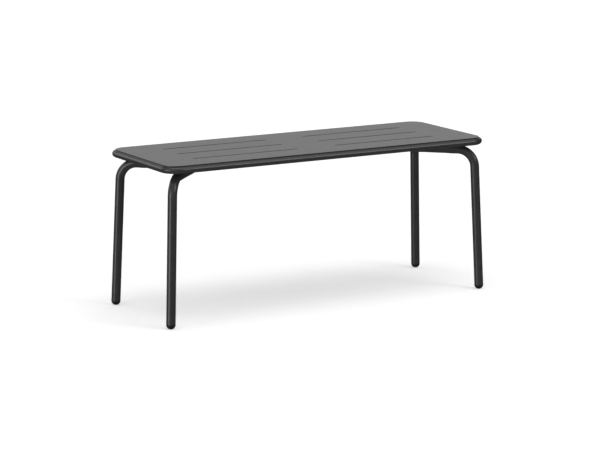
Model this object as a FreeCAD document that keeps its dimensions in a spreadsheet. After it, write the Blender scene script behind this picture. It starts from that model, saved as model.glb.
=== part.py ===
import FreeCAD, Part
import math
import os

import Sketcher

# Backless outdoor bench: a slotted steel seat on a round rim tube, two channel
# pairs under it, and two bent-tube end frames bolted up through saddle pads.
#
# Frame: X along the bench, Y from front to rear, Z up. The origin is on the
# floor, under the middle of the seat. All sizes are in millimetres.

SIZES = {
    # overall, over the rim tube
    "bench_length": 1040.0,
    "bench_width": 380.0,
    "seat_height": 450.0,
    # slotted seat sheet
    "plate_thickness": 2.5,
    "plate_edge_round": 0.6,
    "slot_width": 6.0,
    "slot_end_margin": 36.2,
    "slot_group_gap": 121.0,
    "slot_row_pitch": 91.5,
    # closed tube that carries the sheet's edge
    "rim_diameter": 19.0,
    "rim_wall": 1.5,
    "rim_corner_radius": 39.5,
    "rim_drain_diameter": 4.0,
    "rim_sleeve_length": 60.0,
    "rim_sleeve_wall": 1.2,
    "sleeve_clearance": 0.1,
    # pressed U-channels welded under the sheet, open side up
    "channel_width": 30.0,
    "channel_wall": 2.0,
    "channel_outer_bend": 3.0,
    "bearer_end_gap": 0.3,
    # bent-tube end frames
    "leg_diameter": 26.0,
    "leg_wall": 2.0,
    "leg_bend_radius": 50.7,
    "knee_inset": 29.8,
    "foot_inset_end": 14.3,
    "foot_inset_side": 18.4,
    # moulded domed glides in the tube ends
    "glide_overhang": 0.3,
    "glide_flat_depth": 0.5,
    "glide_stem_length": 24.0,
    "glide_stem_wall": 2.2,
    "glide_barb_height": 5.0,
    "glide_barb_depth": 1.0,
    "glide_clearance": 0.1,
    # saddle pads between the end frames and the channels
    "pad_diameter": 28.0,
    "pad_thickness": 4.2,
    "pad_wrap": 5.0,
    "pad_bend_margin": 1.0,
    # bolted joint, its head inside the tube and reached through a plugged hole
    "bolt_diameter": 8.0,
    "bolt_length": 20.0,
    "bolt_hole_clearance": 0.4,
    "bolt_head_diameter": 14.0,
    "bolt_head_height": 4.4,
    "bolt_head_flat": 8.0,
    "bolt_head_dome": 6.0,
    "bolt_socket_width": 5.0,
    "bolt_socket_depth": 2.8,
    "bolt_tip_chamfer": 1.0,
    "washer_diameter": 14.0,
    "washer_middle": 3.7,
    "access_hole_diameter": 15.0,
    "plug_clearance": 0.1,
    "plug_depth": 5.0,
    "plug_proud": 0.4,
    "nut_width": 13.0,
    "nut_height": 6.5,
    "nut_thread_clearance": 0.1,
    # weld beads
    "seam_bead_radius": 2.4,
    "seam_bead_inward": 7.4,
    "seam_bead_drop": 1.7,
    "corner_bead_radius": 2.5,
    "stitch_length": 25.0,
    "stitch_pitch": 140.0,
}

LEFT_TURN, RIGHT_TURN = 1, -1
RUN_ANGLE = 45.0
GLIDE_BARBS = 3
CUT_MARGIN = 1.0
SIDES = {"left": -1, "right": 1}
ENDS = {"front": -1, "rear": 1}

os.makedirs("parts", exist_ok=True)
doc = FreeCAD.newDocument("Bench")
sheet = doc.addObject("Spreadsheet::Sheet", "Sizes")
for row, (alias, millimetres) in enumerate(SIZES.items(), start=1):
    sheet.set(f"A{row}", alias)
    sheet.set(f"B{row}", str(millimetres))
    sheet.setAlias(f"B{row}", alias)
doc.recompute()


class Size:
    """A length that knows its number and the sheet formula behind it."""

    def __init__(self, number, formula):
        self.number = number
        self.formula = formula

    @staticmethod
    def of(other):
        return other if isinstance(other, Size) else Size(other, str(other))

    def __add__(self, other):
        other = Size.of(other)
        return Size(self.number + other.number, f"({self.formula} + {other.formula})")

    def __sub__(self, other):
        other = Size.of(other)
        return Size(self.number - other.number, f"({self.formula} - {other.formula})")

    def __mul__(self, other):
        other = Size.of(other)
        return Size(self.number * other.number, f"({self.formula} * {other.formula})")

    def __truediv__(self, other):
        other = Size.of(other)
        return Size(self.number / other.number, f"({self.formula} / {other.formula})")

    def __neg__(self):
        return self * -1


def size(alias):
    return Size(float(sheet.get(alias)), f"Sizes.{alias}")


MIDDLE = Size(0.0, "0")


# ---- derived sizes, each written once -------------------------------------

half_length = size("bench_length") / 2
half_width = size("bench_width") / 2

rim_radius = size("rim_diameter") / 2
rim_bore = rim_radius - size("rim_wall")
rim_x = half_length - rim_radius
rim_y = half_width - rim_radius
plate_under = size("seat_height") - size("plate_thickness")
rim_z = plate_under - rim_radius
frame_top = plate_under - size("rim_diameter")

leg_radius = size("leg_diameter") / 2
leg_bore = leg_radius - size("leg_wall")
run_top = frame_top - size("pad_thickness")
run_z = run_top - leg_radius
knee_x = half_length - size("knee_inset")
knee_y = half_width - size("knee_inset")
apex_x = knee_x - knee_y
glide_radius = leg_radius + size("glide_overhang")
foot_x = half_length - size("foot_inset_end")
foot_y = half_width - size("foot_inset_side")
foot_z = glide_radius - size("glide_flat_depth")

# Each run leaves its knee at the run angle, 45 degrees, and meets the other at the apex.
# A pad sits on the straight part, at the same reach from the knee or from the apex.
pad_reach = size("leg_bend_radius") + size("pad_diameter") / 2 + size("pad_bend_margin")
pad_step = pad_reach * math.cos(math.radians(RUN_ANGLE))
bearer_x = knee_x - pad_step
bearer_bolt_y = knee_y - pad_step
stringer_bolt_x = apex_x + pad_step
stringer_y = pad_step

half_channel = size("channel_width") / 2
stringer_half = bearer_x - half_channel

bolt_radius = size("bolt_diameter") / 2
bolt_hole = bolt_radius + size("bolt_hole_clearance")
access_radius = size("access_hole_diameter") / 2
bolt_seat_z = run_z + leg_bore - size("washer_middle")
weld_nut_z = frame_top + size("channel_wall")


# ---- small helpers ----------------------------------------------------------

def point(x, y, z=0.0):
    return FreeCAD.Vector(x, y, z)


ALONG = {
    "x": FreeCAD.Rotation(point(0, 1, 0), 90),
    "y": FreeCAD.Rotation(point(1, 0, 0), -90),
    "z": FreeCAD.Rotation(),
}


def number(value):
    return value.number if isinstance(value, Size) else value


def bind(thing, **properties):
    """Tie properties to the sheet; a double underscore stands for a dot."""
    for name, value in properties.items():
        path = name.replace("__", ".")
        if isinstance(value, Size):
            thing.setExpression(path, value.formula)
        else:
            thing.setExpression(path, str(value))
    return thing


def put(thing, x=0.0, y=0.0, z=0.0, turn=FreeCAD.Rotation()):
    """Place an object, with each distance tied to the sheet."""
    thing.Placement = FreeCAD.Placement(point(number(x), number(y), number(z)), turn)
    for axis, value in zip("xyz", (x, y, z)):
        if isinstance(value, Size):
            thing.setExpression(f"Placement.Base.{axis}", value.formula)
    return thing


def primitive(kind, name, **properties):
    return bind(doc.addObject(f"Part::{kind}", name), **properties)


def cut(name, base, tool):
    result = doc.addObject("Part::Cut", name)
    result.Base, result.Tool = base, tool
    return result


def common(name, base, tool):
    result = doc.addObject("Part::Common", name)
    result.Base, result.Tool = base, tool
    return result


def fuse(name, shapes):
    result = doc.addObject("Part::MultiFuse", name)
    result.Shapes = shapes
    return result


def compound(name, shapes):
    result = doc.addObject("Part::Compound", name)
    result.Links = shapes
    return result


def new_body(name):
    return doc.addObject("PartDesign::Body", name)


def sketch_on(body, name, role, offset=None):
    """A sketch on one of the body's own origin planes, raised by an offset."""
    sketch = body.newObject("Sketcher::SketchObject", f"{body.Name}_{name}")
    plane = next(f for f in body.Origin.OriginFeatures if f.Role == role)
    sketch.AttachmentSupport = [(plane, "")]
    sketch.MapMode = "FlatFace"
    if offset is not None:
        bind(sketch, AttachmentOffset__Base__z=offset)
    return sketch


def hold(sketch, edge, end, x, y):
    """Fix a point of the sketch at its two distances from the origin."""
    for kind, axis, value in (("DistanceX", -2, x), ("DistanceY", -1, y)):
        if isinstance(value, Size):
            index = sketch.addConstraint(
                Sketcher.Constraint(kind, -1, 1, edge, end, value.number))
            sketch.setExpression(f"Constraints[{index}]", value.formula)
        else:
            sketch.addConstraint(Sketcher.Constraint("PointOnObject", edge, end, axis))


def set_radius(sketch, edge, radius):
    index = sketch.addConstraint(Sketcher.Constraint("Radius", edge, radius.number))
    sketch.setExpression(f"Constraints[{index}]", radius.formula)


def circle(sketch, x, y, radius):
    edge = sketch.addGeometry(
        Part.Circle(point(number(x), number(y)), point(0, 0, 1), radius.number), False)
    hold(sketch, edge, 3, x, y)
    set_radius(sketch, edge, radius)


def arc_between(start, stop, radius, turn):
    """Shorter arc from start to stop that turns left or right."""
    chord = stop - start
    reach = math.sqrt(max(radius ** 2 - (chord.Length / 2) ** 2, 0.0))
    aside = point(-chord.y, chord.x).normalize() * reach * turn
    centre = (start + stop) * 0.5 + aside
    first, last = (start, stop) if turn == LEFT_TURN else (stop, start)
    angles = [math.atan2(p.y - centre.y, p.x - centre.x) for p in (first, last)]
    ring = Part.Circle(centre, point(0, 0, 1), radius)
    return Part.ArcOfCircle(ring, angles[0], angles[1])


def outline(sketch, stops):
    """Closed outline: each stop is (x, y), or (x, y, radius, turn) where an arc leaves it."""
    places = [point(number(stop[0]), number(stop[1])) for stop in stops]
    edges = []
    for index, stop in enumerate(stops):
        start, end = places[index], places[(index + 1) % len(stops)]
        if len(stop) == 2:
            edge = sketch.addGeometry(Part.LineSegment(start, end), False)
            edges.append((edge, 1, 2))
        else:
            radius, turn = stop[2:]
            edge = sketch.addGeometry(arc_between(start, end, radius.number, turn), False)
            edges.append((edge, 1, 2) if turn == LEFT_TURN else (edge, 2, 1))
    for index, (edge, _, last) in enumerate(edges):
        following, first, _ = edges[(index + 1) % len(edges)]
        sketch.addConstraint(Sketcher.Constraint("Coincident", edge, last, following, first))
    for (edge, first, _), stop in zip(edges, stops):
        hold(sketch, edge, first, stop[0], stop[1])
        if len(stop) > 2:
            set_radius(sketch, edge, stop[2])


def rounded_rectangle(sketch, x, y, radius):
    """Rectangle about the origin, given its half sizes and corner radius."""
    flat_x, flat_y = x - radius, y - radius
    outline(sketch, [
        (-flat_x, -y), (flat_x, -y, radius, LEFT_TURN),
        (x, -flat_y), (x, flat_y, radius, LEFT_TURN),
        (flat_x, y), (-flat_x, y, radius, LEFT_TURN),
        (-x, flat_y), (-x, -flat_y, radius, LEFT_TURN),
    ])


def hexagon(sketch, across_flats):
    """Hexagon about the origin with two corners on the X axis."""
    corner = across_flats / math.sqrt(3)
    half_flat = across_flats / 2
    outline(sketch, [
        (corner, 0), (corner / 2, half_flat), (-corner / 2, half_flat),
        (-corner, 0), (-corner / 2, -half_flat), (corner / 2, -half_flat),
    ])


def pad(body, sketch, length, both_ways=False, downwards=False):
    feature = body.newObject("PartDesign::Pad", f"{sketch.Name}_pad")
    feature.Profile = sketch
    feature.SideType = "Symmetric" if both_ways else "One side"
    feature.Reversed = downwards
    return bind(feature, Length=length)


def pocket(body, sketch, length=None, both_ways=False, upwards=False):
    """Pocket through everything, or to a length; a sketch's own pocket runs against its normal."""
    feature = body.newObject("PartDesign::Pocket", f"{sketch.Name}_pocket")
    feature.Profile = sketch
    feature.SideType = "Symmetric" if both_ways else "One side"
    feature.Reversed = upwards
    if length is None:
        feature.Type = "ThroughAll"
    else:
        bind(feature, Length=length)
    return feature


def group(name, master, places):
    """Identical pieces as one node of separate solids: links to one master."""
    links = []
    for index, (x, y, z, turn) in enumerate(places, start=1):
        link = doc.addObject("App::Link", f"{name}_{index}")
        link.LinkedObject = master
        links.append(put(link, x, y, z, turn))
    return compound(name, links)


NODES = {}


def keep(node, thing):
    """Register a finished sub-part under the name of its node."""
    thing.Label = node
    NODES[node] = thing
    return thing


# ---- seat sheet -------------------------------------------------------------

def seat_plate():
    """Flat sheet, cut over the rim tube's centreline, with two groups of three drain slots."""
    body = new_body("SeatPlate")
    edge = sketch_on(body, "edge", "XY_Plane", plate_under)
    rounded_rectangle(edge, rim_x, rim_y, size("rim_corner_radius"))
    pad(body, edge, size("plate_thickness"))

    half_slot = size("slot_width") / 2
    near = size("slot_group_gap") / 2 + half_slot
    far = bearer_x - half_channel - size("slot_end_margin") - half_slot
    row = -size("slot_row_pitch")
    slots = sketch_on(body, "slots", "XY_Plane", size("seat_height"))
    for inner, outer in ((near, far), (-far, -near)):
        outline(slots, [
            (inner, row - half_slot), (outer, row - half_slot, half_slot, LEFT_TURN),
            (outer + half_slot, row, half_slot, LEFT_TURN),
            (outer, row + half_slot), (inner, row + half_slot, half_slot, LEFT_TURN),
            (inner - half_slot, row, half_slot, LEFT_TURN),
        ])
    first_row = pocket(body, slots)
    doc.recompute()

    rows = body.newObject("PartDesign::LinearPattern", "SlotRows")
    rows.Originals = [first_row]
    rows.Direction = (slots, ["V_Axis"])
    rows.Occurrences = 3
    bind(rows, Length=size("slot_row_pitch") * 2)
    body.Tip = rows
    doc.recompute()

    ease = body.newObject("PartDesign::Fillet", "EdgeEase")
    ease.Base = (rows, outer_top_edges(rows.Shape, rim_x.number, rim_y.number))
    bind(ease, Radius=size("plate_edge_round"))
    body.Tip = ease
    return keep("seat_plate", body)


def outer_top_edges(shape, x, y):
    """Names of the top edges that lie outside the slotted field."""
    top = shape.BoundBox.ZMax
    corner = size("rim_corner_radius").number
    names = []
    for index, edge in enumerate(shape.Edges, start=1):
        middle = edge.valueAt((edge.FirstParameter + edge.LastParameter) / 2)
        outside = abs(middle.x) > x - corner or abs(middle.y) > y - corner
        if outside and abs(edge.BoundBox.ZMin - top) < 1e-6:
            names.append(f"Edge{index}")
    return names


# ---- rim tube ---------------------------------------------------------------

def rim_tube():
    """Round tube bent into a closed ring, with a drain hole near each corner."""
    body = new_body("RimTube")
    spine = sketch_on(body, "spine", "XY_Plane", rim_z)
    rounded_rectangle(spine, rim_x, rim_y, size("rim_corner_radius"))
    sweeps = (("outside", "Additive", rim_radius), ("bore", "Subtractive", rim_bore))
    for part, kind, radius in sweeps:
        section = sketch_on(body, part, "YZ_Plane")
        circle(section, -rim_y, rim_z, radius)
        sweep = body.newObject(f"PartDesign::{kind}Pipe", f"Rim_{part}")
        sweep.Profile = section
        sweep.Spine = (spine, [f"Edge{edge}" for edge in range(1, 9)])
        doc.recompute()

    holes = sketch_on(body, "drains", "XY_Plane", rim_z)
    drain_x = rim_x - size("rim_corner_radius") * 2
    for side in SIDES.values():
        for end in ENDS.values():
            circle(holes, drain_x * side, rim_y * end, size("rim_drain_diameter") / 2)
    pocket(body, holes, rim_radius + CUT_MARGIN)
    return keep("rim_tube", body)


def rim_joint_sleeve():
    """Short tube inside the rim, where the ring's two ends are butted and welded."""
    outside = primitive("Cylinder", "SleeveOutside",
                        Radius=rim_bore - size("sleeve_clearance"),
                        Height=size("rim_sleeve_length"))
    inside = primitive("Cylinder", "SleeveInside",
                       Radius=rim_bore - size("sleeve_clearance") - size("rim_sleeve_wall"),
                       Height=size("rim_sleeve_length"))
    sleeve = cut("JointSleeve", outside, inside)
    put(sleeve, -size("rim_sleeve_length") / 2, rim_y, rim_z, ALONG["x"])
    return keep("rim_joint_sleeve", sleeve)


# ---- channels under the sheet ----------------------------------------------

def channel_profile(sketch):
    """U section, open at the top, hung from the level of the sheet's underside."""
    half, wall = half_channel, size("channel_wall")
    deep, bend = size("rim_diameter"), size("channel_outer_bend")
    inner_bend = bend - wall
    outline(sketch, [
        (-half, 0), (-half, -deep + bend, bend, LEFT_TURN),
        (-half + bend, -deep), (half - bend, -deep, bend, LEFT_TURN),
        (half, -deep + bend), (half, 0),
        (half - wall, 0), (half - wall, -deep + bend, inner_bend, RIGHT_TURN),
        (half - bend, -deep + wall), (-half + bend, -deep + wall, inner_bend, RIGHT_TURN),
        (-half + wall, -deep + bend), (-half + wall, 0),
    ])


def cross_bearer(side):
    """Channel across the bench at one end, its ends coped round the rim tube."""
    node = f"cross_bearer_{side}"
    body = new_body(f"CrossBearer_{side}")
    section = sketch_on(body, "section", "XZ_Plane")
    channel_profile(section)
    pad(body, section, (rim_y - rim_radius / 2) * 2, both_ways=True)
    doc.recompute()
    cope = sketch_on(body, "cope", "YZ_Plane")
    for end in ENDS.values():
        circle(cope, rim_y * end, -rim_radius, rim_radius + size("bearer_end_gap"))
    pocket(body, cope, both_ways=True)
    holes = sketch_on(body, "bolt_holes", "XY_Plane")
    for end in ENDS.values():
        circle(holes, 0, bearer_bolt_y * end, bolt_hole)
    pocket(body, holes)
    put(body, bearer_x * SIDES[side], 0.0, plate_under)
    return keep(node, body)


def stringer(end):
    """Channel along the bench between two slot rows, butted to both cross bearers."""
    node = f"stringer_{end}"
    body = new_body(f"Stringer_{end}")
    section = sketch_on(body, "section", "YZ_Plane")
    channel_profile(section)
    pad(body, section, stringer_half * 2, both_ways=True)
    doc.recompute()
    holes = sketch_on(body, "bolt_holes", "XY_Plane")
    for side in SIDES.values():
        circle(holes, stringer_bolt_x * side, 0, bolt_hole)
    pocket(body, holes)
    put(body, 0.0, stringer_y * ENDS[end], plate_under)
    return keep(node, body)


# ---- end frames -------------------------------------------------------------

def fixings(side):
    """The four bolt places of one end frame: X, Y and the turn of the run there."""
    across = SIDES[side]
    for end in ENDS.values():
        run_turn = FreeCAD.Rotation(point(0, 0, 1), RUN_ANGLE * across * end)
        yield bearer_x * across, bearer_bolt_y * end, run_turn
        yield stringer_bolt_x * across, stringer_y * end, run_turn


def bent_wire(corners, radius):
    """Straight runs through the corners, joined by tangent arcs of one radius."""
    edges = []
    here = corners[0]
    for before, corner, after in zip(corners, corners[1:], corners[2:]):
        inward = (before - corner).normalize()
        onward = (after - corner).normalize()
        half_angle = inward.getAngle(onward) / 2
        back_off = radius / math.tan(half_angle)
        bisector = (inward + onward).normalize()
        centre = corner + bisector * (radius / math.sin(half_angle))
        start, stop = corner + inward * back_off, corner + onward * back_off
        middle = centre - bisector * radius
        edges.append(Part.LineSegment(here, start).toShape())
        edges.append(Part.Arc(start, middle, stop).toShape())
        here = stop
    edges.append(Part.LineSegment(here, corners[-1]).toShape())
    return Part.Wire(edges)


def leg_frame(side):
    """One tube: front leg, diagonal run to the apex, diagonal run back, rear leg."""
    across = SIDES[side]
    foot = [point(foot_x.number * across, foot_y.number * end, foot_z.number) for end in (-1, 1)]
    knee = [point(knee_x.number * across, knee_y.number * end, run_z.number) for end in (-1, 1)]
    apex = point(apex_x.number * across, 0, run_z.number)
    path = doc.addObject("Part::Feature", f"LegPath_{side}")
    path.Shape = bent_wire([foot[0], knee[0], apex, knee[1], foot[1]],
                           size("leg_bend_radius").number)
    spine = (path, [f"Edge{edge + 1}" for edge in range(len(path.Shape.Edges))])
    at_foot = FreeCAD.Placement(
        foot[0], FreeCAD.Rotation(point(0, 0, 1), knee[0] - foot[0]))

    swept = {}
    for part, radius in (("outside", leg_radius), ("bore", leg_bore)):
        ring = primitive("Circle", f"LegRing_{part}_{side}", Radius=radius)
        ring.Placement = at_foot
        sweep = doc.addObject("Part::Sweep", f"LegSweep_{part}_{side}")
        sweep.Sections, sweep.Spine, sweep.Solid = [ring], spine, True
        swept[part] = sweep
    tube = cut(f"LegTube_{side}", swept["outside"], swept["bore"])

    drills = []
    for index, (x, y, _) in enumerate(fixings(side), start=1):
        upper = primitive("Cylinder", f"BoltDrill_{side}_{index}",
                          Radius=bolt_hole, Height=size("leg_diameter"))
        drills.append(put(upper, x, y, run_z))
        lower = primitive("Cylinder", f"AccessDrill_{side}_{index}",
                          Radius=access_radius, Height=size("leg_diameter"))
        drills.append(put(lower, x, y, run_z - size("leg_diameter")))
    frame = cut(f"LegFrame_{side}", tube, compound(f"LegDrills_{side}", drills))
    return keep(f"leg_frame_{side}", frame)


def foot_glide(end, side):
    """Domed glide: a solid dome under the tube's end and a hollow barbed stem inside it."""
    name = f"{end}_{side}"
    barb_tip = leg_bore - size("glide_clearance")
    core = barb_tip - size("glide_barb_depth")
    dome = primitive("Sphere", f"GlideDome_{name}",
                     Radius=glide_radius, Angle1=-90, Angle2=0, Angle3=360)
    stem = primitive("Cylinder", f"GlideStem_{name}",
                     Radius=core, Height=size("glide_stem_length"))
    barbs = []
    for level in range(1, GLIDE_BARBS + 1):
        barb = primitive("Cone", f"GlideBarb_{name}_{level}", Radius1=barb_tip, Radius2=core,
                         Height=size("glide_barb_height"))
        barbs.append(put(barb, z=size("glide_stem_length") - size("glide_barb_height") * level))
    solid = fuse(f"GlideSolid_{name}", [dome, stem] + barbs)
    core_pin = primitive("Cylinder", f"GlideCore_{name}",
                         Radius=core - size("glide_stem_wall"),
                         Height=size("glide_stem_length") + CUT_MARGIN)
    moulding = cut(f"GlideMoulding_{name}", solid, core_pin)
    leg = point((knee_x - foot_x).number * SIDES[side],
                (knee_y - foot_y).number * ENDS[end], (run_z - foot_z).number)
    upright = FreeCAD.Rotation(point(0, 0, 1), leg)
    put(moulding, foot_x * SIDES[side], foot_y * ENDS[end], foot_z, upright)

    below = primitive("Box", f"GlideFloor_{name}", Length=glide_radius * 2,
                      Width=glide_radius * 2, Height=glide_radius)
    put(below, foot_x * SIDES[side] - glide_radius, foot_y * ENDS[end] - glide_radius,
        -glide_radius)
    return keep(f"foot_glide_{end}_{side}", cut(f"Glide_{name}", moulding, below))


# ---- saddle pads, washers, plugs, bolts and nuts ---------------------------

def saddle_pad():
    """Round pad with its flat on the origin and a groove below that sits on the leg tube."""
    body = new_body("SaddlePad")
    middle = size("pad_thickness")
    disc = sketch_on(body, "disc", "XY_Plane")
    circle(disc, 0, 0, size("pad_diameter") / 2)
    pad(body, disc, middle + size("pad_wrap"), downwards=True)
    doc.recompute()
    groove = sketch_on(body, "groove", "YZ_Plane")
    circle(groove, 0, -middle - leg_radius, leg_radius)
    pocket(body, groove, both_ways=True)
    hole = sketch_on(body, "hole", "XY_Plane")
    circle(hole, 0, 0, bolt_hole)
    pocket(body, hole)
    return body


def lying_bar(name, radius):
    """Bar along X through the origin, which stands for the tube that a piece fits."""
    bar = primitive("Cylinder", name, Radius=radius, Height=size("leg_diameter") * 2)
    return put(bar, x=-size("leg_diameter"), turn=ALONG["x"])


def curved_washer():
    """Washer inside the tube: flat below for the bolt's head, and above it fills the bore's crown."""
    middle = size("washer_middle")
    disc = primitive("Cylinder", "WasherDisc", Radius=size("washer_diameter") / 2, Height=middle)
    put(disc, z=leg_bore - middle)
    crowned = common("WasherCrowned", disc, lying_bar("WasherBore", leg_bore))
    hole = primitive("Cylinder", "WasherHole", Radius=bolt_hole, Height=leg_radius)
    return cut("CurvedWasher", crowned, hole)


def access_plug():
    """Plug for the hole under each bolt, its outer face curved like the tube."""
    face = leg_radius + size("plug_proud")
    stem = primitive("Cylinder", "PlugStem", Radius=access_radius - size("plug_clearance"),
                     Height=size("plug_depth"))
    put(stem, z=-face)
    return common("AccessPlug", stem, lying_bar("PlugFace", face))


def button_bolt():
    """Button-head bolt, seat of the head on the origin and shank up; the thread is left plain."""
    body = new_body("ButtonBolt")
    head, flat = size("bolt_head_diameter") / 2, size("bolt_head_flat") / 2
    tall, long = size("bolt_head_height"), size("bolt_length")
    chamfer = size("bolt_tip_chamfer")
    half = sketch_on(body, "half", "XZ_Plane")
    outline(half, [
        (0, -tall), (flat, -tall, size("bolt_head_dome"), LEFT_TURN),
        (head, 0), (bolt_radius, 0), (bolt_radius, long - chamfer),
        (bolt_radius - chamfer, long), (0, long),
    ])
    turned = body.newObject("PartDesign::Revolution", "BoltTurned")
    turned.Profile = half
    turned.ReferenceAxis = (half, ["V_Axis"])
    turned.Angle = 360
    doc.recompute()
    socket = sketch_on(body, "socket", "XY_Plane", -tall)
    hexagon(socket, size("bolt_socket_width"))
    pocket(body, socket, size("bolt_socket_depth"), upwards=True)
    return body


def weld_nut():
    """Hexagon weld nut, standing on the channel's web; the thread is left plain."""
    body = new_body("WeldNut")
    faces = sketch_on(body, "faces", "XY_Plane")
    hexagon(faces, size("nut_width"))
    circle(faces, 0, 0, bolt_radius + size("nut_thread_clearance"))
    pad(body, faces, size("nut_height"))
    return body


def bolted_joints():
    """The hardware of both end frames, one node for each kind of piece at each end."""
    kinds = (
        ("saddle_pads", saddle_pad(), frame_top),
        ("curved_washers", curved_washer(), run_z),
        ("access_plugs", access_plug(), run_z),
        ("frame_bolts", button_bolt(), bolt_seat_z),
        ("weld_nuts", weld_nut(), weld_nut_z),
    )
    for side in SIDES:
        for kind, master, level in kinds:
            node = f"{kind}_{side}"
            places = [(x, y, level, turn) for x, y, turn in fixings(side)]
            keep(node, group(f"Group_{node}", master, places))


# ---- weld beads -------------------------------------------------------------

def bead(name, axis, x, y, z, length, radius):
    """Round run of weld that starts at a point and follows one axis."""
    run = primitive("Cylinder", name, Radius=radius, Height=length)
    return put(run, x, y, z, ALONG[axis])


def stitch_starts(seam_length):
    """Starts of equal stitches, as many as the seam has room for, centred on zero."""
    pitch = size("stitch_pitch")
    count = int(seam_length.number / pitch.number)
    for index in range(count):
        yield pitch * (index - (count - 1) / 2) - size("stitch_length") / 2


def slab(name, x, y, z, length, width, height):
    """Box centred on X and Y, standing on Z."""
    box = primitive("Box", name, Length=length, Width=width, Height=height)
    return put(box, x - length / 2, y - width / 2, z)


def rim_solid():
    """The rim tube's straight sides as solid bars, and the sheet over them."""
    bars = []
    for end in ENDS.values():
        bars.append(bead(f"RimBarX_{end + 1}", "x", -rim_x, rim_y * end, rim_z, rim_x * 2,
                         rim_radius))
    for side in SIDES.values():
        bars.append(bead(f"RimBarY_{side + 1}", "y", rim_x * side, -rim_y, rim_z, rim_y * 2,
                         rim_radius))
    bars.append(slab("SheetSlab", MIDDLE, MIDDLE, plate_under, half_length * 2,
                     half_width * 2, rim_radius))
    return fuse("RimSolid", bars)


def channel_solid():
    """The four channels as solid bars."""
    bars = []
    for side in SIDES.values():
        bars.append(slab(f"BearerBar_{side + 1}", bearer_x * side, MIDDLE, frame_top,
                         size("channel_width"), rim_y * 2, size("rim_diameter")))
    for end in ENDS.values():
        bars.append(slab(f"StringerBar_{end + 1}", MIDDLE, stringer_y * end, frame_top,
                         stringer_half * 2, size("channel_width"), size("rim_diameter")))
    return fuse("ChannelSolid", bars)


def weld_beads():
    """Stitches between sheet and rim, along the channels, and at the channels' ends."""
    long = size("stitch_length")
    seam, corner = size("seam_bead_radius"), size("corner_bead_radius")
    straight_x = (rim_x - size("rim_corner_radius")) * 2
    straight_y = (rim_y - size("rim_corner_radius")) * 2
    solids = fuse("WeldedSolids", [rim_solid(), channel_solid()])

    stitches = []
    inward = size("seam_bead_inward")
    seam_z = plate_under - size("seam_bead_drop")
    for end in ENDS.values():
        for index, start in enumerate(stitch_starts(straight_x)):
            stitches.append(bead(f"SideStitch_{end + 1}_{index}", "x", start,
                                 (rim_y - inward) * end, seam_z, long, seam))
    for side in SIDES.values():
        for index, start in enumerate(stitch_starts(straight_y)):
            stitches.append(bead(f"EndStitch_{side + 1}_{index}", "y",
                                 (rim_x - inward) * side, start, seam_z, long, seam))
    keep("rim_stitch_welds", cut("RimStitches", compound("RimStitchRuns", stitches), solids))

    runs = []
    for end in ENDS.values():
        for flank in (-1, 1):
            edge = stringer_y * end + half_channel * flank
            for index, start in enumerate(stitch_starts(stringer_half * 2)):
                runs.append(bead(f"StringerRun_{end + 1}_{flank + 1}_{index}", "x", start,
                                 edge, plate_under, long, corner))
    for side in SIDES.values():
        edge = (bearer_x + half_channel) * side
        for index, start in enumerate(stitch_starts(straight_y)):
            runs.append(bead(f"BearerRun_{side + 1}_{index}", "y", edge, start,
                             plate_under, long, corner))
    keep("channel_seam_welds", cut("ChannelSeams", compound("ChannelRuns", runs), solids))

    ends = []
    foot = frame_top + size("channel_outer_bend")
    tall = size("rim_diameter") - size("channel_outer_bend") * 2
    for side in SIDES.values():
        for end in ENDS.values():
            for flank in (-1, 1):
                ends.append(bead(f"ButtRun_{side + 1}_{end + 1}_{flank + 1}", "z",
                                 stringer_half * side, stringer_y * end + half_channel * flank,
                                 foot, tall, corner))
                ends.append(bead(f"CopeRun_{side + 1}_{end + 1}_{flank + 1}", "z",
                                 bearer_x * side + half_channel * flank,
                                 (rim_y - rim_radius) * end, foot, tall, corner))
    keep("channel_end_welds", cut("ChannelEnds", compound("ChannelEndRuns", ends), solids))


# ---- build, check and write -------------------------------------------------

def build():
    seat_plate()
    rim_tube()
    rim_joint_sleeve()
    for side in SIDES:
        cross_bearer(side)
    for end in ENDS:
        stringer(end)
    for side in SIDES:
        leg_frame(side)
    for side in SIDES:
        for end in ENDS:
            foot_glide(end, side)
    bolted_joints()
    weld_beads()
    doc.recompute()


def check():
    """Stop if any object failed, or a sub-part has no valid shape."""
    for thing in doc.Objects:
        if "Invalid" in thing.State or "Error" in thing.State:
            raise RuntimeError(f"{thing.Name} failed: {thing.State}")
    for node, thing in NODES.items():
        if thing.Shape.isNull() or not thing.Shape.isValid():
            raise RuntimeError(f"{node} has no valid shape")
        print(f"{node}: {len(thing.Shape.Solids)} solids, {thing.Shape.Volume / 1000:.2f} cm3")


def write():
    for node, thing in NODES.items():
        thing.Shape.exportStep(f"parts/{node}.step")


build()
check()
write()
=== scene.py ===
# %% [markdown]
# # A backless bench in graphite powder coat
#
# The bench is a flat steel seat with drain slots, edged by a round rim tube, and it
# stands on two bent-tube end frames with black domed glides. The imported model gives
# every size and place, in metres, with Z up and the origin on the floor under the
# middle of the seat. This lesson models the pieces that are seen as a metalworker
# would make them: sheet is cut and its edges eased, tube is pushed and bent, beads
# are laid, mouldings are turned.

import math

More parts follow.
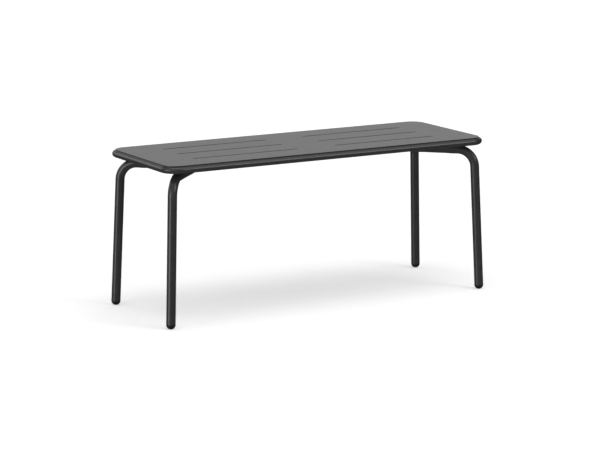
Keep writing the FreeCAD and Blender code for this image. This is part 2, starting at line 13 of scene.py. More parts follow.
import bmesh
import bpy
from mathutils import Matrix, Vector


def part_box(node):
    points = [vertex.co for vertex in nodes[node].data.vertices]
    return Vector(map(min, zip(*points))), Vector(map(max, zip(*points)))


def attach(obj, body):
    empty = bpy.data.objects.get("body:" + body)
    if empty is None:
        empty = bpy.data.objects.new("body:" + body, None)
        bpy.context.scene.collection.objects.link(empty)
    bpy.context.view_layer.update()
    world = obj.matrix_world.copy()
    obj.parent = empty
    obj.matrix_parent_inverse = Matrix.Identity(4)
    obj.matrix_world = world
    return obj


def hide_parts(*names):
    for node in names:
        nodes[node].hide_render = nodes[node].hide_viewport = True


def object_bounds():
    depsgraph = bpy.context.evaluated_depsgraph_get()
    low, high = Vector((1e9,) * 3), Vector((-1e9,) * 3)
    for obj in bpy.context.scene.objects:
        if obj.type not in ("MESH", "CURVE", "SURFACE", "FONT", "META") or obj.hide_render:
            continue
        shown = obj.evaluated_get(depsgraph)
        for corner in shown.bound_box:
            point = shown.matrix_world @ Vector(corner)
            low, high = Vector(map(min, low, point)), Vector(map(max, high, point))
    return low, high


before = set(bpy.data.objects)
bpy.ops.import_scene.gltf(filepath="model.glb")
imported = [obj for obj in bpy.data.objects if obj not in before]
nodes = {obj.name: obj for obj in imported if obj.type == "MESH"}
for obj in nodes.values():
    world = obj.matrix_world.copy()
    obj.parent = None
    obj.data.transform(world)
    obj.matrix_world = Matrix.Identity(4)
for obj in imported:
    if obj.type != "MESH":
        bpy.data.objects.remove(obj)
cad_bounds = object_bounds()
print("nodes:", len(nodes))
print("box:", [tuple(round(v, 4) for v in corner) for corner in cad_bounds])

# %% [markdown]
# ## Helpers for working as by hand
#
# An operator acts on whatever is selected, and the loaded nodes start out selected.
# So each step begins by clearing the selection, and then faces, edges or points are
# picked in code by where they are.

# %% Selection and edit helpers
MM = 0.001
UP = Vector((0, 0, 1))
FINE = 1e-6
SLIVER = 4e-6
UPRIGHT = 0.99
FLAT_FACE_WEIGHT = 60


def clear_selection():
    if bpy.context.mode != "OBJECT":
        bpy.ops.object.mode_set(mode="OBJECT")
    bpy.ops.object.select_all(action="DESELECT")


def make_active(piece):
    clear_selection()
    piece.select_set(True)
    bpy.context.view_layer.objects.active = piece


def name_piece(name):
    piece = bpy.context.object
    piece.name = name
    piece.data.name = name
    return piece


def edit(piece, everything=False):
    make_active(piece)
    bpy.ops.object.mode_set(mode="EDIT")
    bpy.ops.mesh.select_all(action="SELECT" if everything else "DESELECT")


def pick(piece, kind, test):
    """Select the points, edges or faces of the piece that pass a test."""
    bpy.ops.mesh.select_mode(type={"verts": "VERT", "edges": "EDGE", "faces": "FACE"}[kind])
    bpy.ops.mesh.select_all(action="DESELECT")
    mesh = bmesh.from_edit_mesh(piece.data)
    for item in [item for item in getattr(mesh, kind) if test(item)]:
        item.select_set(True)
    bmesh.update_edit_mesh(piece.data)


def modify(piece, kind, **settings):
    """Add a modifier, set it and apply it."""
    make_active(piece)
    modifier = piece.modifiers.new(kind.title(), kind)
    for setting, value in settings.items():
        setattr(modifier, setting, value)
    bpy.ops.object.modifier_apply(modifier=modifier.name)


def settle(piece):
    """Put the piece's place, turn and scale into its mesh."""
    make_active(piece)
    bpy.ops.object.transform_apply(location=True, rotation=True, scale=True)
    return piece


def face_outwards(piece, merge=FINE):
    edit(piece, everything=True)
    bpy.ops.mesh.remove_doubles(threshold=merge)
    bpy.ops.mesh.normals_make_consistent(inside=False)
    bpy.ops.object.mode_set(mode="OBJECT")


def drop_slivers(piece):
    """Merge the almost touching points that cutting and bevelling leave behind."""
    edit(piece, everything=True)
    bpy.ops.mesh.remove_doubles(threshold=SLIVER)
    bpy.ops.mesh.dissolve_degenerate(threshold=SLIVER)
    bpy.ops.object.mode_set(mode="OBJECT")


def ease_edges(piece, width, steps, degrees):
    """Bevel every edge that turns by more than an angle."""
    modify(piece, "BEVEL", width=width, segments=steps, limit_method="ANGLE",
           angle_limit=math.radians(degrees))


def smooth(piece, degrees):
    """Shade bends smooth and let the large flat faces set the normals beside them."""
    make_active(piece)
    bpy.ops.object.shade_smooth_by_angle(angle=math.radians(degrees))
    modify(piece, "WEIGHTED_NORMAL", keep_sharp=True, weight=FLAT_FACE_WEIGHT)


def another(piece, name):
    """A copy with a mesh of its own."""
    copy = piece.copy()
    copy.data = piece.data.copy()
    copy.name = copy.data.name = name
    bpy.context.collection.objects.link(copy)
    return copy


def join(pieces, name):
    make_active(pieces[0])
    for piece in pieces:
        piece.select_set(True)
    bpy.ops.object.join()
    return name_piece(name)


def carve(piece, cutter, operation="DIFFERENCE"):
    """Cut the piece with another mesh, which is then thrown away."""
    modify(piece, "BOOLEAN", object=cutter, operation=operation, solver="EXACT")
    bpy.data.objects.remove(cutter)


def solids_of(node):
    """Boxes of the separate solids in one loaded node, read from a merged copy."""
    copy = another(nodes[node], "solids_" + node)
    copy.parent = None
    edit(copy, everything=True)
    bpy.ops.mesh.remove_doubles(threshold=FINE)
    bpy.ops.mesh.separate(type="LOOSE")
    bpy.ops.object.mode_set(mode="OBJECT")
    boxes = []
    for part in list(bpy.context.selected_objects):
        corners = [Vector(corner) for corner in part.bound_box]
        low = Vector(min(c[i] for c in corners) for i in range(3))
        high = Vector(max(c[i] for c in corners) for i in range(3))
        boxes.append((low, high))
        bpy.data.objects.remove(part)
    return sorted(boxes, key=lambda box: tuple(box[0]))


def middle_of(box):
    return (box[0] + box[1]) / 2


# %% [markdown]
# ## Measure the frame
#
# The tube sizes, the bend places and the sheet's level are read from the loaded
# nodes. Only what no box can tell, such as walls and bend radii, is named here.

# %% Sizes read from the nodes
RIM_WALL = 1.5 * MM
RIM_CORNER_RADIUS = 39.5 * MM
LEG_WALL = 2.0 * MM
LEG_RADIUS = 13.0 * MM
LEG_BEND_RADIUS = 50.7 * MM
KNEE_INSET = 29.8 * MM

high = cad_bounds[1]
rim_low, rim_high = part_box("rim_tube")
sheet_low, sheet_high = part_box("seat_plate")
rim_radius = (sheet_low.z - rim_low.z) / 2
rim_z = rim_low.z + rim_radius
rim_x, rim_y = rim_high.x - rim_radius, rim_high.y - rim_radius
run_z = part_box("leg_frame_right")[1].z - LEG_RADIUS
knee_x, knee_y = high.x - KNEE_INSET, high.y - KNEE_INSET
apex_x = knee_x - knee_y
SIDES = {"left": -1, "right": 1}
ENDS = {"front": -1, "rear": 1}
print("rim radius", round(rim_radius / MM, 2), "mm, run axis at", round(run_z / MM, 1), "mm")

# %% [markdown]
# ## The seat sheet
#
# The seat is one flat steel sheet. A laser cuts its rounded outline and the six drain
# slots, and deburring and the thick coat leave every edge a little round. A block of
# the sheet's size gets its four upright edges bevelled for the corners, slot-shaped
# cutters open the slots, and one small bevel eases all the edges at once.

# %% Cut the seat sheet
EDGE_EASE = 0.7 * MM
SLOT_WIDTH = 6.0 * MM
SLOT_ROW_PITCH = 91.5 * MM
SLOT_GROUP_GAP = 121.0 * MM
SLOT_END_MARGIN = 36.2 * MM
SLOT_END_STEPS = 8
SLOT_CUT_REACH = 10 * MM
ALMOST_WHOLE = 0.999
CORNER_STEPS = 20


def block(name, low_corner, high_corner):
    clear_selection()
    bpy.ops.mesh.primitive_cube_add(size=1, location=(low_corner + high_corner) / 2)
    piece = name_piece(name)
    piece.scale = high_corner - low_corner
    return settle(piece)


def round_upright_edges(piece, radius, steps):
    edit(piece)
    pick(piece, "edges",
         lambda e: abs((e.verts[0].co - e.verts[1].co).normalized().z) > UPRIGHT)
    bpy.ops.mesh.bevel(offset=radius, segments=steps, affect="EDGES")
    bpy.ops.object.mode_set(mode="OBJECT")


seat = block("seat_sheet", sheet_low, sheet_high)
round_upright_edges(seat, RIM_CORNER_RADIUS, CORNER_STEPS)

bearer_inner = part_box("cross_bearer_right")[0].x
slot_near = SLOT_GROUP_GAP / 2
slot_far = bearer_inner - SLOT_END_MARGIN
slot_cutters = []
for side in SIDES.values():
    for row in (-1, 0, 1):
        centre = Vector((side * (slot_near + slot_far) / 2, row * SLOT_ROW_PITCH, sheet_high.z))
        half = Vector(((slot_far - slot_near) / 2, SLOT_WIDTH / 2, SLOT_CUT_REACH))
        cutter = block("slot_cutter", centre - half, centre + half)
        round_upright_edges(cutter, SLOT_WIDTH / 2 * ALMOST_WHOLE, SLOT_END_STEPS)
        slot_cutters.append(cutter)
carve(seat, join(slot_cutters, "slot_cutters"))
ease_edges(seat, EDGE_EASE, 3, 40)
smooth(seat, 30)
print("seat sheet:", len(seat.data.polygons), "faces, slot length",
      round((slot_far - slot_near) / MM, 1), "mm")

# %% [markdown]
# ## Bent tube
#
# Rim and legs are round tube pushed through a bender: straight, bend, straight. The
# same moves make the mesh. A ring of points is the cut end; extruding it is a straight
# run, and spinning it about the bend's centre is a bend. A Solidify then gives the
# tube its wall.

# %% Tube tools
TUBE_SIDES = 48


def cut_end(name, radius, place, direction):
    """The open end of a tube: a ring of points square to its direction."""
    clear_selection()
    turn = direction.to_track_quat("Z", "Y").to_euler()
    bpy.ops.mesh.primitive_circle_add(vertices=TUBE_SIDES, radius=radius, location=place,
                                      rotation=turn)
    piece = settle(name_piece(name))
    edit(piece, everything=True)
    return piece


def push(step):
    bpy.ops.mesh.extrude_region_move(TRANSFORM_OT_translate={"value": step})


def bend(before, corner, after, radius):
    """Where a tube turns at a corner: start, stop, centre, axis and angle of the bend."""
    inward = (before - corner).normalized()
    onward = (after - corner).normalized()
    half = inward.angle(onward) / 2
    back = radius / math.tan(half)
    centre = corner + (inward + onward).normalized() * radius / math.sin(half)
    axis = onward.cross(inward).normalized()
    return corner + inward * back, corner + onward * back, centre, axis, math.pi - 2 * half


def bent_tube(name, corners, tube_radius, bend_radius, steps):
    """Push and bend one tube through its corners."""
    piece = cut_end(name, tube_radius, corners[0], (corners[1] - corners[0]).normalized())
    here = corners[0]
    for before, corner, after in zip(corners, corners[1:], corners[2:]):
        start, stop, centre, axis, angle = bend(before, corner, after, bend_radius)
        push(start - here)
        bpy.ops.mesh.spin(steps=steps, angle=-angle, center=centre, axis=axis)
        here = stop
    push(corners[-1] - here)
    bpy.ops.object.mode_set(mode="OBJECT")
    return piece


# %% [markdown]
# ## The rim
#
# The rim is one tube bent into a ring, with its ends butted over a sleeve at the middle
# of the rear side, welded and ground flush. It starts and ends there, so its last ring
# of points is merged with its first. A ground weld is never quite gone: the ring at the
# joint is made slightly larger, between two plain rings that are cut in beside it, and
# this leaves the low swelling that a hand can feel.

# %% Bend the rim
BEND_STEPS = 20
WELD_BAND = 4 * MM
WELD_RISE = 1.006
RING_CLOSING = 10 * FINE
DRAIN_RADIUS = 2 * MM
DRAIN_SIDES = 24

rim_corners = [Vector((sx * rim_x, sy * rim_y, rim_z))
               for sx, sy in ((1, 1), (1, -1), (-1, -1), (-1, 1))]
joint = Vector((0, rim_y, rim_z))
rim = bent_tube("rim_ring", [joint] + rim_corners + [joint], rim_radius, RIM_CORNER_RADIUS,
                BEND_STEPS)
for offset in (-WELD_BAND, WELD_BAND):
    edit(rim, everything=True)
    bpy.ops.mesh.bisect(plane_co=joint + Vector((offset, 0, 0)), plane_no=(1, 0, 0),
                        threshold=FINE)
edit(rim)
pick(rim, "verts", lambda v: abs(v.co.x) < FINE and v.co.y > 0)
bpy.ops.transform.resize(value=(1, WELD_RISE, WELD_RISE), center_override=joint)
face_outwards(rim, merge=RING_CLOSING)
modify(rim, "SOLIDIFY", thickness=RIM_WALL, offset=-1)

drain_cutters = []
for corner in rim_corners:
    drain = Vector((corner.x - math.copysign(2 * RIM_CORNER_RADIUS, corner.x), corner.y,
                    rim_low.z))
    clear_selection()
    bpy.ops.mesh.primitive_cylinder_add(vertices=DRAIN_SIDES, radius=DRAIN_RADIUS,
                                        depth=rim_radius, location=drain)
    drain_cutters.append(settle(name_piece("drain_cutter")))
carve(rim, join(drain_cutters, "drain_cutters"))
drop_slivers(rim)
smooth(rim, 40)
print("rim:", len(rim.data.polygons), "faces")

# %% [markdown]
# ## The end frames
#
# Each end frame is one tube too: up the front leg, over the knee, diagonally in to the
# apex under the seat, and back out to the rear leg. The corners of its path come from
# the foot glides, the knees and the apex. Under each run an access hole lets a key
# reach the bolt, and a smaller hole above lets the bolt through.

# %% Bend the end frames
ACCESS_RADIUS = 7.5 * MM
BOLT_HOLE_RADIUS = 4.4 * MM
DRILL_SIDES = 32
DOME_RADIUS = 13.3 * MM
FLAT_DEPTH = 0.5 * MM
foot_z = DOME_RADIUS - FLAT_DEPTH


def foot_place(end, side):
    """Centre of the dome at the end of a leg."""
    glide_low, glide_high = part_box(f"foot_glide_{end}_{side}")
    outer_x = glide_low.x if side == "left" else glide_high.x
    outer_y = glide_low.y if end == "front" else glide_high.y
    return Vector((outer_x - SIDES[side] * DOME_RADIUS, outer_y - ENDS[end] * DOME_RADIUS,
                   foot_z))


def knee_place(end, side):
    return Vector((SIDES[side] * knee_x, ENDS[end] * knee_y, run_z))


def frame_path(side):
    return [foot_place("front", side), knee_place("front", side),
            Vector((SIDES[side] * apex_x, 0, run_z)),
            knee_place("rear", side), foot_place("rear", side)]


def drill(radius, low_point, depth):
    clear_selection()
    bpy.ops.mesh.primitive_cylinder_add(vertices=DRILL_SIDES, radius=radius, depth=depth,
                                        location=low_point + UP * depth / 2)
    return settle(name_piece("drill"))


bolt_places = {side: [middle_of(box) for box in solids_of(f"frame_bolts_{side}")]
               for side in SIDES}
legs = {}
for side in SIDES:
    path = frame_path(side)
    tube = bent_tube(f"end_frame_{side}", path, LEG_RADIUS, LEG_BEND_RADIUS, BEND_STEPS)
    face_outwards(tube)
    modify(tube, "SOLIDIFY", thickness=LEG_WALL, offset=-1)
    drills = []
    for place in bolt_places[side]:
        flat = Vector((place.x, place.y, run_z))
        drills.append(drill(BOLT_HOLE_RADIUS, flat, 2 * LEG_RADIUS))
        drills.append(drill(ACCESS_RADIUS, flat - UP * 2 * LEG_RADIUS, 2 * LEG_RADIUS))
    carve(tube, join(drills, "drills"))
    smooth(tube, 40)
    legs[side] = tube
    print(tube.name, len(tube.data.polygons), "faces")

# %% [markdown]
# ## Foot glides
#
# A glide is a moulded plug: a solid dome as wide as the tube and a hollow, barbed stem
# that is knocked into it. It is a turned shape, so half its outline is drawn as a chain of
# edges and spun about the leg's axis. Then it is tilted to the leg and cut level with
# the floor, which gives the small flat that wear makes.

# %% Turn a glide
STEM_RADIUS = 9.9 * MM
BARB_RADIUS = 10.9 * MM
STEM_LENGTH = 24 * MM
STEM_WALL = 2.2 * MM
BARB_PITCH = 5 * MM
BARBS = 3
DOME_STEPS = 14
COLLAR = 0.9 * MM
COLLAR_STEP = 0.25 * MM
COLLAR_SLOPE = 0.6
GLIDE_SIDES = 48


def glide_outline():
    """Radius and height of each stop, from the tip of the dome up to the top of the stem."""
    dome = []
    for step in range(DOME_STEPS + 1):
        angle = math.pi / 2 * step / DOME_STEPS
        dome.append((DOME_RADIUS * math.sin(angle), -DOME_RADIUS * math.cos(angle)))
    dome[-1] = (DOME_RADIUS, -COLLAR)
    shoulder = DOME_RADIUS - COLLAR_STEP
    collar = [(shoulder, -COLLAR * COLLAR_SLOPE), (shoulder, 0)]
    stem = [(STEM_RADIUS, 0)]
    height = STEM_LENGTH - BARBS * BARB_PITCH
    for _ in range(BARBS):
        stem += [(BARB_RADIUS, height), (STEM_RADIUS, height + BARB_PITCH)]
        height += BARB_PITCH
    bore = STEM_RADIUS - STEM_WALL
    return dome + collar + stem + [(bore, STEM_LENGTH), (bore, 0), (0, 0)]


def turned(name, stops, around):
    """Spin a half outline, given as radius and height, about the upright axis."""
    clear_selection()
    bpy.ops.mesh.primitive_plane_add(size=1 * MM)
    piece = name_piece(name)
    edit(piece, everything=True)
    bpy.ops.mesh.merge(type="CENTER")
    bpy.ops.mesh.select_all(action="SELECT")
    bpy.ops.transform.translate(value=(stops[0][0], 0, stops[0][1]))
    for before, after in zip(stops, stops[1:]):
        push((after[0] - before[0], 0, after[1] - before[1]))
    bpy.ops.mesh.select_all(action="SELECT")
    bpy.ops.mesh.spin(steps=around, angle=2 * math.pi, center=(0, 0, 0), axis=(0, 0, 1))
    face_outwards(piece)
    return piece


glide_master = turned("glide_master", glide_outline(), GLIDE_SIDES)
glides = {}
for side in SIDES:
    for end in ENDS:
        glide = another(glide_master, f"domed_glide_{end}_{side}")
        foot = foot_place(end, side)
        glide.location = foot
        glide.rotation_euler = (knee_place(end, side) - foot).to_track_quat("Z", "Y").to_euler()
        settle(glide)
        edit(glide, everything=True)
        bpy.ops.mesh.bisect(plane_co=(0, 0, 0), plane_no=(0, 0, -1), use_fill=True,
                            clear_outer=True, threshold=FINE)
        bpy.ops.object.mode_set(mode="OBJECT")
        smooth(glide, 40)
        glides[end, side] = glide
bpy.data.objects.remove(glide_master)
lowest = min(point.co.z for glide in glides.values() for point in glide.data.vertices)
print("glides:", len(glides), "lowest", round(lowest / MM, 3), "mm")

# %% [markdown]
# ## Saddle pads and access plugs
#
# A moulded pad sits between each leg tube and the channel above it, with a groove that
# fits the tube, and a small plug closes each access hole. Both begin as a disc with a
# bevelled rim. The pad's groove is cut with a bar of the tube's size, and the plug
# keeps only what lies inside such a bar, so its face follows the tube.

# %% Mould the pads and plugs
PAD_RADIUS = 14 * MM
PLUG_RADIUS = 7.4 * MM
PLUG_DEPTH = 5 * MM
PLUG_PROUD = 0.4 * MM
PLUG_EASE = 0.35 * MM
PAD_EASE = 0.8 * MM
DISC_SIDES = 48
BAR_SIDES = 96


def disc(name, radius, bottom, top):
    clear_selection()
    bpy.ops.mesh.primitive_cylinder_add(vertices=DISC_SIDES, radius=radius, depth=top - bottom,
                                        location=(0, 0, (top + bottom) / 2))
    return settle(name_piece(name))


def lying_bar(name, radius):
    clear_selection()
    bpy.ops.mesh.primitive_cylinder_add(vertices=BAR_SIDES, radius=radius, depth=4 * PAD_RADIUS,
                                        rotation=(0, math.pi / 2, 0))
    return settle(name_piece(name))


pad_low, pad_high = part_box("saddle_pads_left")
pad_master = disc("pad_master", PAD_RADIUS, pad_low.z - run_z, pad_high.z - run_z)
ease_edges(pad_master, PAD_EASE, 3, 40)
carve(pad_master, lying_bar("pad_groove", LEG_RADIUS))
carve(pad_master, disc("pad_hole", BOLT_HOLE_RADIUS, -PAD_RADIUS, 2 * PAD_RADIUS))
plug_face = LEG_RADIUS + PLUG_PROUD
plug_master = disc("plug_master", PLUG_RADIUS, -plug_face, PLUG_DEPTH - plug_face)
carve(plug_master, lying_bar("plug_face", plug_face), "INTERSECT")
ease_edges(plug_master, PLUG_EASE, 2, 50)
drop_slivers(plug_master)

small_pieces = {}
for kind, name, master in (("saddle_pads", "moulded_pads", pad_master),
                           ("access_plugs", "snap_plugs", plug_master)):
    for side in SIDES:
        copies = []
        for place in bolt_places[side]:
            copy = another(master, kind)
            copy.location = (place.x, place.y, run_z)
            copy.rotation_euler = (0, 0, math.copysign(math.pi / 4, place.x * place.y))
            copies.append(settle(copy))
        small_pieces[kind, side] = join(copies, f"{name}_{side}")
        smooth(small_pieces[kind, side], 40)
    bpy.data.objects.remove(master)
print("pads and plugs:", [piece.name for piece in small_pieces.values()])

# %% [markdown]
# ## Weld beads
#
# Each bead is a row of small overlapping puddles, frozen one after another. One bead is
# modelled as a ring pushed along in short steps, a little larger and smaller by turns,
# with drawn-in ends. A copy is stretched into the box of every bead in the frame.

# %% Lay the beads
RIPPLES = 11
BEAD_SIDES = 10
RIPPLE_DEPTH = 0.86
BEAD_SWELL = 1.12
BEAD_FULLNESS = 6
TIP_SIZE = 0.25


def ripple_bead(name):
    """A bead two units long and two across, lying along X."""
    steps = 2 * RIPPLES
    clear_selection()
    bpy.ops.mesh.primitive_circle_add(vertices=BEAD_SIDES, radius=1, location=(-1, 0, 0),
                                      rotation=(0, math.pi / 2, 0))
    piece = settle(name_piece(name))
    edit(piece, everything=True)
    size = 1.0
    for step in range(steps + 1):
        along = -1 + 2 * step / steps
        body = max(0, 1 - abs(along) ** BEAD_FULLNESS) ** 0.5
        wanted = max(body, TIP_SIZE) * (1.0 if step % 2 else RIPPLE_DEPTH)
        if step:
            push((2 / steps, 0, 0))
        factor = wanted / size
        bpy.ops.transform.resize(value=(1, factor, factor), center_override=(along, 0, 0))
        size = wanted
    bpy.ops.mesh.edge_face_add()
    pick(piece, "verts", lambda v: v.co.x < -ALMOST_WHOLE)
    bpy.ops.mesh.edge_face_add()
    bpy.ops.object.mode_set(mode="OBJECT")
    face_outwards(piece)
    return piece


bead_master = ripple_bead("bead_master")
TURN_TO = {0: (0, 0, 0), 1: (0, 0, math.pi / 2), 2: (0, math.pi / 2, 0)}
beads = {}
for bead_node, name in (("rim_stitch_welds", "rim_stitches"),
                        ("channel_seam_welds", "channel_seams"),
                        ("channel_end_welds", "channel_ends")):
    copies = []
    for box in solids_of(bead_node):
        span = (box[1] - box[0]) / 2
        longest = max(range(3), key=lambda axis: span[axis])
        copy = another(bead_master, name)
        copy.rotation_euler = TURN_TO[longest]
        settle(copy)
        copy.scale = [span[axis] * (1 if axis == longest else BEAD_SWELL) for axis in range(3)]
        copy.location = middle_of(box)
        copies.append(settle(copy))
    beads[bead_node] = join(copies, name)
    smooth(beads[bead_node], 60)
    print(name, len(copies), "beads,", len(beads[bead_node].data.polygons), "faces")
bpy.data.objects.remove(bead_master)

# %% [markdown]
# ## Pressed channels
#
# Under the sheet run two cross bearers and two stringers, folded from strip into a U
# that is open to the sheet. A strip the width of the web is laid down, its two long
# edges are pushed up as flanges, and the two fold lines are bevelled into bends. A
# Solidify gives the strip its thickness. The bearers' ends are coped round the rim, the
# webs are drilled for the bolts, and a fine bevel takes the sharpness off the cut edges.

# %% Fold the channels
CHANNEL_WALL = 2.0 * MM
CHANNEL_BEND = 3.0 * MM
COPE_GAP = 0.3 * MM
CUT_EDGE_EASE = 0.25 * MM
FOLD_STEPS = 6
COPE_SIDES = 64


def folded_channel(name, low_corner, high_corner, along):
    """A U of strip, open at the top, with its length along axis 0 or 1."""
    across = 1 - along
    clear_selection()
    centre = (low_corner + high_corner) / 2
    bpy.ops.mesh.primitive_plane_add(size=1, location=(centre.x, centre.y, low_corner.z))
    piece = name_piece(name)
    piece.scale = (high_corner.x - low_corner.x, high_corner.y - low_corner.y, 1)
    settle(piece)
    for edge in (low_corner, high_corner):
        edit(piece)
        pick(piece, "edges", lambda e: all(abs(v.co[across] - edge[across]) < FINE
                                           and abs(v.co.z - low_corner.z) < FINE
                                           for v in e.verts))
        push((0, 0, high_corner.z - low_corner.z))
    pick(piece, "edges", lambda e: all(abs(v.co.z - low_corner.z) < FINE for v in e.verts)
         and abs(e.verts[0].co[across] - e.verts[1].co[across]) < FINE)
    bpy.ops.mesh.bevel(offset=CHANNEL_BEND, segments=FOLD_STEPS, affect="EDGES")
    face_outwards(piece)
    web = max(piece.data.polygons, key=lambda p: p.area * abs(p.normal.z))
    if web.normal.z > 0:
        edit(piece, everything=True)
        bpy.ops.mesh.flip_normals()
        bpy.ops.object.mode_set(mode="OBJECT")
    modify(piece, "SOLIDIFY", thickness=CHANNEL_WALL, offset=-1, use_even_offset=True)
    return piece


channels = {}
for channel_node, name, along in (("cross_bearer_left", "folded_bearer_left", 1),
                                  ("cross_bearer_right", "folded_bearer_right", 1),
                                  ("stringer_front", "folded_stringer_front", 0),
                                  ("stringer_rear", "folded_stringer_rear", 0)):
    channel_low, channel_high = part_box(channel_node)
    channel = folded_channel(name, channel_low, channel_high, along)
    cutters = [drill(BOLT_HOLE_RADIUS, Vector((p.x, p.y, channel_low.z - CHANNEL_WALL)),
                     3 * CHANNEL_WALL)
               for side in SIDES for p in bolt_places[side]
               if channel_low.x < p.x < channel_high.x and channel_low.y < p.y < channel_high.y]
    if along == 1:
        for end in ENDS.values():
            clear_selection()
            bpy.ops.mesh.primitive_cylinder_add(
                vertices=COPE_SIDES, radius=rim_radius + COPE_GAP, depth=4 * rim_radius,
                location=((channel_low.x + channel_high.x) / 2, end * rim_y, rim_z),
                rotation=(0, math.pi / 2, 0))
            cutters.append(settle(name_piece("cope_cutter")))
    carve(channel, join(cutters, "channel_cutters"))
    ease_edges(channel, CUT_EDGE_EASE, 2, 50)
    drop_slivers(channel)
    smooth(channel, 35)
    channels[channel_node] = channel
    print(name, len(channel.data.polygons), "faces")

# %% [markdown]
# ## Effects that several finishes share
#
# Powder coat, moulded plastic and plated steel differ in colour and gloss, but the
# same few effects make each of them look real: a fine grain, a slow waviness, rubbed
# edges and a breath of settled dust. Each effect is one node group with named inputs,
# placed with its own values in each material that shows it. The groups only put out
# values that vary over the surface. The shader stays in the material.

# %% Node helpers
def node(tree, kind, settings=None, inputs=None):
    """Add a node, set its properties, then set or wire its inputs."""
    made = tree.nodes.new(kind)
    for name, value in (settings or {}).items():
        setattr(made, name, value)
    for name, value in (inputs or {}).items():
        if isinstance(value, bpy.types.NodeSocket):
            tree.links.new(value, made.inputs[name])
        else:
            made.inputs[name].default_value = value
    return made


def math_node(tree, operation, a, b):
    return node(tree, "ShaderNodeMath", {"operation": operation}, {0: a, 1: b}).outputs[0]


def remap(tree, value, low_in, high_in, low_out=0.0, high_out=1.0):
    inputs = {"Value": value, "From Min": low_in, "From Max": high_in,
              "To Min": low_out, "To Max": high_out}
    return node(tree, "ShaderNodeMapRange", {"clamp": True}, inputs).outputs["Result"]


def noise(tree, place, scale, detail=2.0, roughness=0.5):
    inputs = {"Vector": place, "Scale": scale, "Detail": detail, "Roughness": roughness}
    return node(tree, "ShaderNodeTexNoise", None, inputs).outputs["Fac"]


def effect(name, inputs, outputs):
    """An empty node group with named sockets: its tree, its input node and its output node."""
    tree = bpy.data.node_groups.new(name, "ShaderNodeTree")
    for socket, value in inputs.items():
        kind = "NodeSocketVector" if value is None else "NodeSocketFloat"
        made = tree.interface.new_socket(socket, in_out="INPUT", socket_type=kind)
        if value is not None:
            made.default_value = value
    for socket in outputs:
        tree.interface.new_socket(socket, in_out="OUTPUT", socket_type="NodeSocketFloat")
    return tree, tree.nodes.new("NodeGroupInput"), tree.nodes.new("NodeGroupOutput")


def use(tree, group, inputs):
    return node(tree, "ShaderNodeGroup", {"node_tree": group}, inputs)


# %% Group: grain and waviness of a surface
MOTTLE_SHARE = 0.37


def surface_grain():
    """Height of fine grain on slow waves, both sized in metres, with a mottle for gloss."""
    tree, given, result = effect(
        "surface_grain",
        {"Place": None, "Grain Size": 0.001, "Wave Size": 0.01, "Wave Share": 0.3},
        ("Height", "Mottle"))
    place = given.outputs["Place"]
    grain_scale = math_node(tree, "DIVIDE", 1.0, given.outputs["Grain Size"])
    wave_scale = math_node(tree, "DIVIDE", 1.0, given.outputs["Wave Size"])
    pimples = node(tree, "ShaderNodeTexVoronoi", {"feature": "SMOOTH_F1"},
                   {"Vector": place, "Scale": grain_scale, "Smoothness": 0.6})
    specks = noise(tree, place, grain_scale, 3.0, 0.6)
    fine = math_node(tree, "SUBTRACT", specks, pimples.outputs["Distance"])
    slow = noise(tree, place, wave_scale, 2.0)
    share = given.outputs["Wave Share"]
    mixed = node(tree, "ShaderNodeMix", {"data_type": "FLOAT"}, {0: share, 2: fine, 3: slow})
    tree.links.new(mixed.outputs[0], result.inputs["Height"])
    mottle_scale = math_node(tree, "MULTIPLY", wave_scale, MOTTLE_SHARE)
    mottle = remap(tree, noise(tree, place, mottle_scale, 3.0), 0.35, 0.65)
    tree.links.new(mottle, result.inputs["Mottle"])
    return tree


# %% Group: settled dust
def settled_dust():
    """Dust where a face looks up, in soft patches."""
    tree, given, result = effect("settled_dust", {"Place": None, "Patch Size": 0.06}, ("Dust",))
    normal = node(tree, "ShaderNodeNewGeometry").outputs["Normal"]
    height = node(tree, "ShaderNodeSeparateXYZ", None, {0: normal}).outputs["Z"]
    upward = remap(tree, height, 0.55, 1.0)
    scale = math_node(tree, "DIVIDE", 1.0, given.outputs["Patch Size"])
    patches = remap(tree, noise(tree, given.outputs["Place"], scale, 4.0, 0.6), 0.3, 0.75)
    tree.links.new(math_node(tree, "MULTIPLY", upward, patches), result.inputs["Dust"])
    return tree


# %% Group: rubbed edges
def rubbed_edges():
    """Where the surface turns sharply within a radius, broken up by noise."""
    tree, given, result = effect("rubbed_edges", {"Place": None, "Radius": 0.001,
                                                  "Break Size": 0.004}, ("Rub",))
    normal = node(tree, "ShaderNodeNewGeometry").outputs["Normal"]
    rounded = node(tree, "ShaderNodeBevel", {"samples": 4}, {"Radius": given.outputs["Radius"]})
    agree = node(tree, "ShaderNodeVectorMath", {"operation": "DOT_PRODUCT"},
                 {0: normal, 1: rounded.outputs["Normal"]}).outputs["Value"]
    turn = remap(tree, agree, 0.98, 0.80)
    scale = math_node(tree, "DIVIDE", 1.0, given.outputs["Break Size"])
    broken = remap(tree, noise(tree, given.outputs["Place"], scale, 3.0), 0.35, 0.6)
    tree.links.new(math_node(tree, "MULTIPLY", turn, broken), result.inputs["Rub"])
    return tree


grain_group, dust_group, rub_group = surface_grain(), settled_dust(), rubbed_edges()
print("effects:", [group.name for group in (grain_group, dust_group, rub_group)])

# %% [markdown]
# ## Graphite powder coat
#
# The steel is dusted with a dark grey powder that is baked into a thin, tough skin. It
# is almost black when looked at squarely and much paler at a low angle, because the
# coat then reflects what stands behind it. The fine texture scatters the reflection,
# so it stays soft. The base colour is therefore very dark, and the gloss comes from
# the shader: a broad reflection, broken by grain about a millimetre across on waves
# nearly a centimetre long. Edges that hands and clothes rub are a little smoother.

